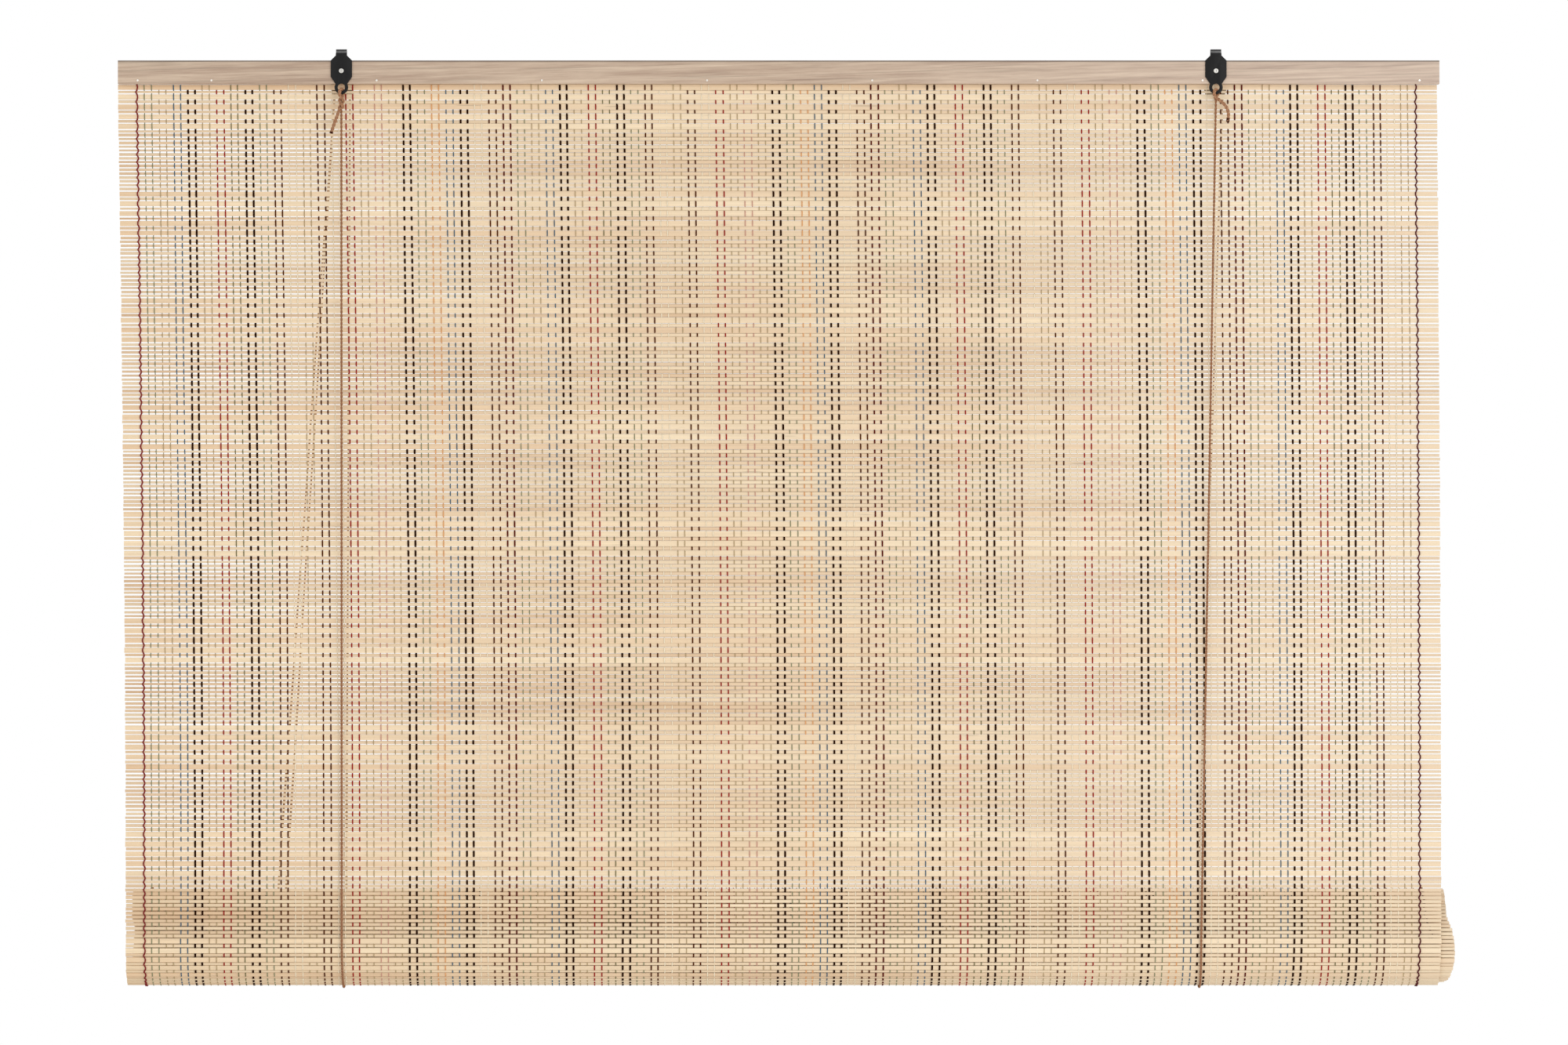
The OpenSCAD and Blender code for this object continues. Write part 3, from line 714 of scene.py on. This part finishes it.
# %% [markdown]
# ## Warp threads
# The threads lie in pairs of one colour, and the order of colours repeats like a weaver's draft. A thread is
# a curve that steps to the front of one slat and to the back of the next. One such curve is given a small
# three-sided section, made a mesh, and copied to every place of its colour, as wide as that yarn lies flat.
# The pairs aren't quite evenly spread: they crowd to the right of their places, most of all left of the
# middle, and from one pair on the weave starts with the other side.

# %% Helpers for strands
THREAD_R = 0.45 * MM
THREAD_SIDES = 3
THREAD_RISE = 0.6
THREAD_INSET = 0.5 * MM
TURN_START = 0.1


def section(sides, radius):
    """A small closed outline that a curve carries along."""
    curve = bpy.data.curves.new("section", "CURVE")
    outline = curve.splines.new("POLY")
    outline.points.add(sides - 1)
    for k in range(sides):
        angle = 2 * math.pi * k / sides
        outline.points[k].co = (radius * math.cos(angle), radius * math.sin(angle), 0, 1)
    outline.use_cyclic_u = True
    obj = bpy.data.objects.new("section", curve)
    bpy.context.collection.objects.link(obj)
    return obj


def strand(name, points, outline):
    """A mesh tube along the points, with closed ends."""
    curve = bpy.data.curves.new(name, "CURVE")
    curve.dimensions = "3D"
    line = curve.splines.new("POLY")
    line.points.add(len(points) - 1)
    for spot, place in zip(line.points, points):
        spot.co = (*place, 1)
    curve.bevel_mode = "OBJECT"
    curve.bevel_object = outline
    curve.use_fill_caps = True
    obj = bpy.data.objects.new(name, curve)
    bpy.context.collection.objects.link(obj)
    pick(obj)
    bpy.ops.object.convert(target="MESH")
    obj = bpy.context.view_layer.objects.active
    bpy.ops.object.shade_smooth()
    return obj


def weave(first, last, phase):
    """Route of a thread past the slats from first to last: over one, under the next."""
    route = []
    rise = slat_t / 2 + THREAD_R * THREAD_RISE
    for i in range(first, last):
        side = rise if (i + phase) % 2 == 0 else -rise
        for s in (edges[i] + THREAD_INSET, edges[i + 1] - THREAD_INSET):
            route.append((0.0, *on_mat(s, side)))
    return route


def turn_of(points):
    """Angle of points on the roll's first turn, from its front and down."""
    angle = np.arctan2(roll_axis[2] - points[:, 2], roll_axis[1] - points[:, 1])
    return np.where(angle < -TURN_START, angle + 2 * math.pi, angle)


# %% Weave one thread of each kind
FIRST_TURN_SLATS = 70
thread_outline = section(THREAD_SIDES, THREAD_R)
turn_end = hang_slats + FIRST_TURN_SLATS
hang_thread = [strand("thread", weave(0, hang_slats, phase), thread_outline) for phase in (0, 1)]
roll_thread = [strand("thread", weave(hang_slats, turn_end, phase), thread_outline) for phase in (0, 1)]
bpy.data.objects.remove(thread_outline)
round_width = np.ptp(points_of(hang_thread[0])[:, 0])
print("one thread has", len(hang_thread[0].data.polygons), "faces")

# %% Copy it to every place of its colour
DRAFT = "OGKCBMETGKTRLKEBCTBCRTPTKE"
DRAFT_START = 6
PAIRS = 90
THREAD_PITCH = 6.44 * MM
THREAD_PLAY = 0.35 * MM
SWAY_RATE = 9
FLIP_PAIR = 22
CROWD_START = -2.8 * MM
CROWD_GAIN = 7.8 * MM
CROWD_PAIR = 35
CROWD_REACH = 50


def lay_thread(pattern, pair, side, width, rolled):
    """A copy of the woven thread at its place: one thread of a pair."""
    thread = mesh_copy(pattern[(pair + (pair >= FLIP_PAIR)) % 2])
    points = points_of(thread)
    x = (pair - (PAIRS - 1) / 2) * 2 * THREAD_PITCH + side * THREAD_PITCH / 2
    x += CROWD_START + CROWD_GAIN * (1 - ((pair - CROWD_PAIR) / CROWD_REACH) ** 2)
    below = hang_len if rolled else rail_low - points[:, 2]
    sway = draw.uniform(-1, 1) * THREAD_PLAY
    lag = draw.uniform(0, 2 * math.pi)
    points[:, 0] *= width * MM / round_width
    points[:, 0] += x + creep(below, x) + sway * np.sin(points[:, 2] * SWAY_RATE + lag)
    if rolled:
        points[:, 0] += push(turn_of(points))
    set_points(thread, points)
    return thread


warp_parts = []
for name, (letter, _, width) in THREADS.items():
    pairs = [pair for pair in range(PAIRS) if DRAFT[(pair + DRAFT_START) % len(DRAFT)] == letter]
    for place, pattern, rolled in (("warp_", hang_thread, False), ("roll_warp_", roll_thread, True)):
        copies = [lay_thread(pattern, pair, side, width, rolled) for pair in pairs for side in (-1, 1)]
        whole = join(place + name + "_threads", copies, thread_finish[name])
        warp_parts.append((whole, name, rolled))
for template in hang_thread + roll_thread:
    bpy.data.objects.remove(template)
print("warp pieces:", len(warp_parts), "faces:", sum(len(part[0].data.polygons) for part in warp_parts))

# %% [markdown]
# ## Edge cords
# Near both ends of the slats a thicker dark thread is twisted round every slat, so that the last warp threads
# can't slip off. From the front it shows as a wavy line. It is drawn as two curves, one before and one behind
# the slats, that swing to the other side at each gap.

# %% Twist the edge cords
EDGE_R = 0.66 * MM
EDGE_SIDES = 5
EDGE_SWING = 0.72 * MM
EDGE_SIT = 0.5
EDGE_RISE = 0.3
# Place across a slat and share of the swing there.
EDGE_WAVE = ((0.0, 0.0), (0.3, 0.85), (0.5, 1.0), (0.7, 0.85))


def zigzag(first, last, x, face):
    """Route of an edge thread on one face of the slats."""
    route = []
    for i in range(first, last):
        swing = EDGE_SWING if i % 2 == 0 else -EDGE_SWING
        for share, reach in EDGE_WAVE:
            s = edges[i] * (1 - share) + edges[i + 1] * share
            out = face * (slat_t / 2 + EDGE_R * (EDGE_SIT + EDGE_RISE * reach))
            slid = push(roll_angle(s - hang_len)) if s > hang_len else 0.0
            route.append((x + creep(s, x) + slid + swing * reach, *on_mat(s, out)))
    return route


edge_outline = section(EDGE_SIDES, EDGE_R)
edge_parts = {}
for word in ("left", "right"):
    x = centre(word + "_edge_cord")[0]
    for place, first, last in (("", 0, hang_slats), ("roll_", hang_slats, turn_end)):
        both = [strand("edge", zigzag(first, last, x, face), edge_outline) for face in (1, -1)]
        edge_parts[place + word] = join(place + word + "_edge_twist", both, edge_finish[word])
print("edge pieces:", sorted(edge_parts))

# %% [markdown]
# ## Lift cords
# The cords are twisted from two plies. A bump map would give a smooth outline, so the plies are real: two
# thin tubes that wind round the cord's line. A route is a short list of points. It is made dense first, then
# each ply is set off from it by about half its own width, turning once in every lay length.

# %% Lay a twisted cord along a route
CORD_D = 2.2 * MM
PLY_R = 0.64 * MM
PLY_OFF = 0.52 * MM
PLY_SIDES = 6
PLY_STEP = 1.1 * MM
LAY = 7.0 * MM
TAUT = 1.0
LOOSE = 1.5
CORNER_CUT = 0.25
CORNER_PASSES = 2
# Any direction that no cord starts in.
ASIDE = (0.31, 0.17, 0.93)
ply_outlines = {fullness: section(PLY_SIDES, PLY_R * fullness) for fullness in (TAUT, LOOSE)}


def dense(route, step):
    """Points at an even distance along a polyline, with their lengths along it."""
    route = np.array(route, float)
    lengths = np.concatenate([[0], np.cumsum(np.linalg.norm(np.diff(route, axis=0), axis=1))])
    count = max(2, int(round(lengths[-1] / step)) + 1)
    at = np.linspace(0, lengths[-1], count)
    return np.stack([np.interp(at, lengths, route[:, k]) for k in range(3)], axis=1), at


def rounded(route):
    """A polyline with its corners cut a few times, for a cord that bends softly."""
    route = np.array(route, float)
    for _ in range(CORNER_PASSES):
        low = route[:-1] * (1 - CORNER_CUT) + route[1:] * CORNER_CUT
        high = route[:-1] * CORNER_CUT + route[1:] * (1 - CORNER_CUT)
        inner = np.stack([low, high], axis=1).reshape(-1, 3)
        route = np.concatenate([route[:1], inner, route[-1:]])
    return route


def twisted_cord(name, route, fullness=TAUT):
    """Two plies wound round a route, as one mesh. A loose cord is fuller than a taut one."""
    line, at = dense(route, PLY_STEP)
    ahead = np.gradient(line, axis=0)
    ahead /= np.linalg.norm(ahead, axis=1)[:, None]
    across = np.zeros_like(line)
    side = np.cross(ahead[0], ASIDE)
    for k, direction in enumerate(ahead):
        side = side - direction * side.dot(direction)
        side /= np.linalg.norm(side)
        across[k] = side
    up = np.cross(ahead, across)
    plies = []
    for lead in (0.0, math.pi):
        turn = (2 * math.pi * at / LAY + lead)[:, None]
        wound = line + PLY_OFF * fullness * (np.cos(turn) * across + np.sin(turn) * up)
        plies.append(strand("ply", wound, ply_outlines[fullness]))
    return join(name, plies, taut_finish if fullness == TAUT else loose_finish)


# %% [markdown]
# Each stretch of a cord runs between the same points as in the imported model. The front runs hang from the
# eyes, the slings pass under the roll, the back runs rise to the wheels, and the right cord goes on along the
# rail to the left wheel. The stretch that bends over a wheel starts and ends below its flanges: what moves as
# the roll rises is then clear of the wheel.

# %% Front runs, slings and back runs
ARC_STEPS = 40
SINK = 0.6 * MM
# How much of its radius a sling's slanted end stands above its line.
SLING_END = 0.25
SHEET = 1.2 * MM
TWIST_EXTRA = {"left": 6.2 * MM, "right": -3.0 * MM}


def sink(angle):
    """How deep a sling is drawn into the roll at an angle from its front: most at the bottom."""
    return SINK * max(0.0, min(angle, math.pi - angle))


clip_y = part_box("left_clip")[0][1] + SHEET / 2
sling_low, sling_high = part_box("left_sling")
sling_r = roll_axis[1] - sling_low[1] - CORD_D / 2
wrap_up = math.asin((sling_high[2] - CORD_D / 2 * SLING_END - roll_axis[2]) / sling_r)
axle_z = joints["left_wheel_spin"]["pos_m"][2]
line_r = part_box("left_turn_cord")[1][2] - axle_z - CORD_D / 2
flange_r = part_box("left_wheel")[1][2] - axle_z
clear_z = axle_z - math.sqrt(flange_r ** 2 - (line_r - CORD_D / 2) ** 2)
run_tops = {}
cord_parts = {}
for word, groove_from in (("left", "left_turn_cord"), ("right", "rail_cord")):
    wheel_x = centre(word + "_wheel")[0]
    sling_x = centre(word + "_sling")[0]
    groove_y = centre(groove_from)[1]
    run_tops[word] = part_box(word + "_front_cord")[1][2] - TWIST_EXTRA[word]
    under = [(sling_x, roll_axis[1] - (sling_r - sink(a)) * math.cos(a),
              roll_axis[2] - (sling_r - sink(a)) * math.sin(a))
             for a in np.linspace(0, math.pi + wrap_up, ARC_STEPS)]
    cord_parts[word + "_front_cord"] = twisted_cord(
        word + "_front_run", [(wheel_x, clip_y, run_tops[word]), under[0]])
    cord_parts[word + "_sling"] = twisted_cord(word + "_roll_sling", under)
    cord_parts[word + "_back_cord"] = twisted_cord(
        word + "_back_run", [under[-1], (wheel_x + line_r, groove_y, clear_z)])
print("the cords clear the flanges at", round(clear_z / MM, 2), "mm")


# %% Cords over the wheels
def over_wheel(x, y, start, end):
    """Points of a cord bent over a wheel, by angles from its right side."""
    return [(x + line_r * math.cos(a), y, axle_z + line_r * math.sin(a))
            for a in np.linspace(start, end, ARC_STEPS)]


near_y = centre("left_turn_cord")[1]
far_y = centre("rail_cord")[1]
left_x = centre("left_wheel")[0]
right_x = centre("right_wheel")[0]
near_turn = [(left_x + line_r, near_y, clear_z), *over_wheel(left_x, near_y, 0, math.pi),
             (left_x - line_r, near_y, clear_z)]
far_turn = [(right_x + line_r, far_y, clear_z), *over_wheel(right_x, far_y, 0, math.pi / 2),
            *over_wheel(left_x, far_y, math.pi / 2, math.pi), (left_x - line_r, far_y, clear_z)]
cord_parts["left_turn_cord"] = twisted_cord("left_wheel_turn", near_turn)
cord_parts["rail_cord"] = twisted_cord("rail_run", far_turn)
print("cord pieces:", sorted(cord_parts))

# %% Pull cords
# Points of each route, in millimetres.
NEAR_ROUTE = [(-404, 16, -36.4), (-408, 24, -100), (-415, 35, -200), (-421, 46, -300),
              (-428, 56, -400), (-435, 67, -500), (-441, 78, -600), (-448, 89, -700), (-452, 95, -760),
              (-454, 98, -790)]
FAR_ROUTE = [(-404, 19.5, -36.4), (-409, 27, -100), (-417, 37, -200), (-425, 48, -300),
             (-432, 58, -400), (-440, 69, -500), (-447, 79, -600), (-455, 90, -700), (-459, 96, -760),
             (-461, 99, -790)]
NEAR_TAIL = [(-454, 98, -790.4), (-455, 99, -802), (-456, 99, -815), (-457, 99, -827)]
FAR_TAIL = [(-461, 99, -790.4), (-461, 99.5, -802), (-460, 99, -815), (-459.5, 99, -827)]
pull_parts = []
for node, title, route in (
        ("left_pull_cord", "near_pull_cord", NEAR_ROUTE), ("right_pull_cord", "far_pull_cord", FAR_ROUTE),
        ("left_pull_tail", "near_pull_end", NEAR_TAIL), ("right_pull_tail", "far_pull_end", FAR_TAIL)):
    line = rounded(np.array(route) * MM)
    length = float(np.linalg.norm(np.diff(line, axis=0), axis=1).sum())
    piece = twisted_cord(title, line)
    pull_parts.append((piece, node, line, length))
    print(title, round(length, 3), "m")

# %% [markdown]
# ## Knots
# At each eye the cord goes through the ring, comes back, twists round itself and ends in a loose tail. A knot
# is one route: up one side of the twist, through the eye, down the other side and out along the tail. The
# left twist is long and loose and the right one is short. Each tail's end is sealed, so that it can't fray.
# The pull cords end together in a thicker knot.

# %% Model a sealed end
SEAL_R = 1.65 * MM
SEAL_SIDES = 8
SEAL_OVER = 0.6 * MM
seal_outline = section(SEAL_SIDES, SEAL_R)


def sealed_end(route, length):
    """A short plain tube over the last length of a tail."""
    end = route[-1]
    ahead = (end - route[-2]) / np.linalg.norm(end - route[-2])
    return strand("seal", [end - length * ahead, end, end + SEAL_OVER * ahead], seal_outline)


# %% Tie the knots at the eyes
EYE_OD = 12.4 * MM
TWIST_R = 1.6 * MM
TWIST_TOP = -7.4 * MM
TWIST_LEAN = math.radians(55)
TWIST_POINTS = 30
TWIST_PARTING = 5
# Points from the middle of the eye, in millimetres.
EYE_LOOP = [(1.9, 2.0, -5.6), (1.5, 2.3, -3.6), (0.5, 1.2, -1.7), (-0.4, -1.2, -1.7), (-1.4, -2.3, -3.6),
            (-1.8, -2.1, -5.6)]
LEFT_TAIL = [(-2.2, -2.2, -22), (-4.4, -2.6, -28), (-7, -2.4, -35), (-9.2, -2, -41.3)]
RIGHT_TAIL = [(3.6, -2.8, -12), (6.6, -3.4, -14.4), (9.5, -3.2, -18), (11.2, -3, -22.6), (11.4, -2.8, -26.2),
              (10.6, -2.6, -31)]
SEAL_LEN = {"left": 1.2 * MM, "right": 3.0 * MM}
seals = []
knot_parts = {}
for word, first_turn, tail in (("left", TWIST_LEAN - 2 * math.pi, LEFT_TAIL),
                               ("right", -TWIST_LEAN, RIGHT_TAIL)):
    eye = Vector((centre(word + "_clip")[0], clip_y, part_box(word + "_clip")[0][2] + EYE_OD / 2))
    share = np.linspace(0, 1, TWIST_POINTS)
    turn = first_turn + (TWIST_LEAN - first_turn) * share
    twist_low = run_tops[word] - eye.z
    height = twist_low + (TWIST_TOP - twist_low) * share
    spread = TWIST_R * np.clip(share * TWIST_PARTING, 0, 1)
    rising = np.stack([spread * np.sin(turn), spread * np.cos(turn), height], axis=1)
    falling = np.stack([-TWIST_R * np.sin(turn), -TWIST_R * np.cos(turn), height], axis=1)[::-1]
    route = np.concatenate([rising, np.array(EYE_LOOP) * MM, falling, np.array(tail) * MM]) + np.array(eye)
    knot_parts[word + "_knot"] = twisted_cord(word + "_eye_knot", rounded(route), LOOSE)
    seals.append(sealed_end(route, SEAL_LEN[word]))
    print(word, "twist ends", round(twist_low / MM, 1), "mm below the eye")

# %% Soften the sealed ends
SEAL_SOFT = 0.5 * MM
BEVEL_STEPS = 2
cord_seals = join("sealed_tail_ends", seals, seal_finish)
soften = cord_seals.modifiers.new("soften", "BEVEL")
soften.width = SEAL_SOFT
soften.segments = BEVEL_STEPS
pick(cord_seals)
bpy.ops.object.modifier_apply(modifier=soften.name)
print("sealed tails:", len(seals))

# %% Tie the pull knot
COIL_TURNS = 3.25
COIL_POINTS = 120
COIL_CLIMB = 7
COIL_LOW = 1.4
COIL_STRETCH = 1.05
low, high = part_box("pull_knot")
middle = centre("pull_knot")
pull_r = (high[0] - low[0]) / 2 - CORD_D / 2
coil = []
for a in np.linspace(0, COIL_TURNS * 2 * math.pi, COIL_POINTS):
    climb = a / COIL_CLIMB - COIL_LOW
    coil.append((middle[0] + pull_r * math.cos(a) * math.cos(climb), middle[1] + pull_r * math.sin(a),
                 middle[2] + pull_r * math.sin(climb) * COIL_STRETCH))
knot_parts["pull_knot"] = twisted_cord("pull_cord_knot", coil)
print("knots:", sorted(knot_parts))

# %% [markdown]
# ## Laths and metal
# The laths are planed, so their arrises are just broken: a cube to the node's size with a small bevel. The
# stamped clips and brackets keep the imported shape. A copy of each mesh is merged and gets a narrow bevel,
# which catches the light along the edges as rolled enamel does.

# %% Laths
LATH_BEVEL = 0.7 * MM
LATH_CUTS = 24
LATH_SPARE = 6.0 * MM


def lath(node, title, finish, spare=0.0):
    """A planed lath in the box of a node, shorter by a spare length at both ends."""
    low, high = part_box(node)
    size = [high[k] - low[k] for k in range(3)]
    size[0] -= 2 * spare
    obj = bar(title, size[2], size[1], size[0], LATH_BEVEL, LATH_CUTS)
    obj.location = centre(node)
    pick(obj)
    bpy.ops.object.transform_apply(location=True, rotation=False, scale=False)
    obj.data.materials.append(finish)
    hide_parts(node)
    return obj


laths = [lath("head_rail", "front_lath", rail_wood), lath("back_rail", "rear_lath", lath_wood)]
rolled_lath = lath("bottom_rail", "lower_lath", lath_wood, LATH_SPARE)
print("laths:", [obj.name for obj in (*laths, rolled_lath)])

# %% Stamped and turned metal
EASE = 0.16 * MM
EASE_ANGLE = math.radians(35)
FLAT_ANGLE = math.radians(2)
MERGE_REACH = 0.005 * MM


def eased(node, title, finish):
    """A copy of a node's mesh, merged, with a narrow bevel on its edges."""
    source = frame["nodes"][node]
    obj = mesh_copy(source)
    obj.name = title
    obj.parent = None
    obj.matrix_world = source.matrix_world.copy()
    for key in list(obj.keys()):
        del obj[key]
    pick(obj)
    bpy.ops.object.mode_set(mode="EDIT")
    bpy.ops.mesh.select_all(action="SELECT")
    bpy.ops.mesh.remove_doubles(threshold=MERGE_REACH)
    bpy.ops.mesh.dissolve_limited(angle_limit=FLAT_ANGLE)
    bpy.ops.object.mode_set(mode="OBJECT")
    soften = obj.modifiers.new("ease", "BEVEL")
    soften.width = EASE
    soften.segments = BEVEL_STEPS
    soften.limit_method = "ANGLE"
    soften.angle_limit = EASE_ANGLE
    bpy.ops.object.modifier_apply(modifier=soften.name)
    bpy.ops.object.shade_smooth_by_angle(angle=EASE_ANGLE)
    obj.data.materials.clear()
    obj.data.materials.append(finish)
    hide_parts(node)
    return obj


metal = [eased(side + "_" + kind, side + "_" + title, enamel)
         for side in ("left", "right")
         for kind, title in (("clip", "hanging_clip"), ("bracket", "wheel_bracket"))]
metal += [eased(node, node + "_turned", zinc) for node in ("clip_screws", "bracket_screws")]
for node, finish in (("rail_nails", bright_steel), ("left_wheel_pin", zinc), ("right_wheel_pin", zinc),
                     ("left_wheel", nylon), ("right_wheel", nylon)):
    data = frame["nodes"][node].data
    data.materials.clear()
    data.materials.append(finish)
print("metal pieces:", [obj.name for obj in metal])

# %% [markdown]
# ## Ride and finish
# The roll, its slings and the pull knot move, so their pieces ride on those bodies. The hanging mat and the
# straight cord runs ride on the head, each with its own mesh.


def shorten(obj):
    """The piece rides on the head, with its own mesh."""
    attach(obj, "head")
    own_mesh(obj)


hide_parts("mat")
shorten(hanging_slats)
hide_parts("mat_roll")
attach(rolled_slats, "roll")
for piece, name, rolled in warp_parts:
    if rolled:
        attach(piece, "roll")
    else:
        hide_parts("warp_" + name)
        shorten(piece)
for title, piece in edge_parts.items():
    if title.startswith("roll_"):
        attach(piece, "roll")
    else:
        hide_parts(title + "_edge_cord")
        shorten(piece)

# %% Cords and knots
for node, piece in {**cord_parts, **knot_parts}.items():
    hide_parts(node)
    low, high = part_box(node)
    if node.endswith("_sling"):
        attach(piece, "sling")
    elif node == "pull_knot":
        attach(piece, "pull")
    elif node.endswith("front_cord"):
        shorten(piece)
    elif node.endswith("back_cord"):
        shorten(piece)
    else:
        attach(piece, "head")
for piece, node, line, length in pull_parts:
    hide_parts(node)
    if node.endswith("_cord"):
        shorten(piece)
    else:
        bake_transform(piece)
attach(cord_seals, "head")
print("cords and knots:", len(cord_parts) + len(knot_parts) + len(pull_parts))

# %% Wood and metal
for piece, name in zip(laths, ("rail_wood", "lath_wood")):
    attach(piece, "head")
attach(rolled_lath, "roll")
for piece in metal:
    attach(piece, "head")
for helper in (edge_outline, seal_outline, *ply_outlines.values()):
    bpy.data.objects.remove(helper)
print("wood and metal pieces:", len(laths) + 1 + len(metal))
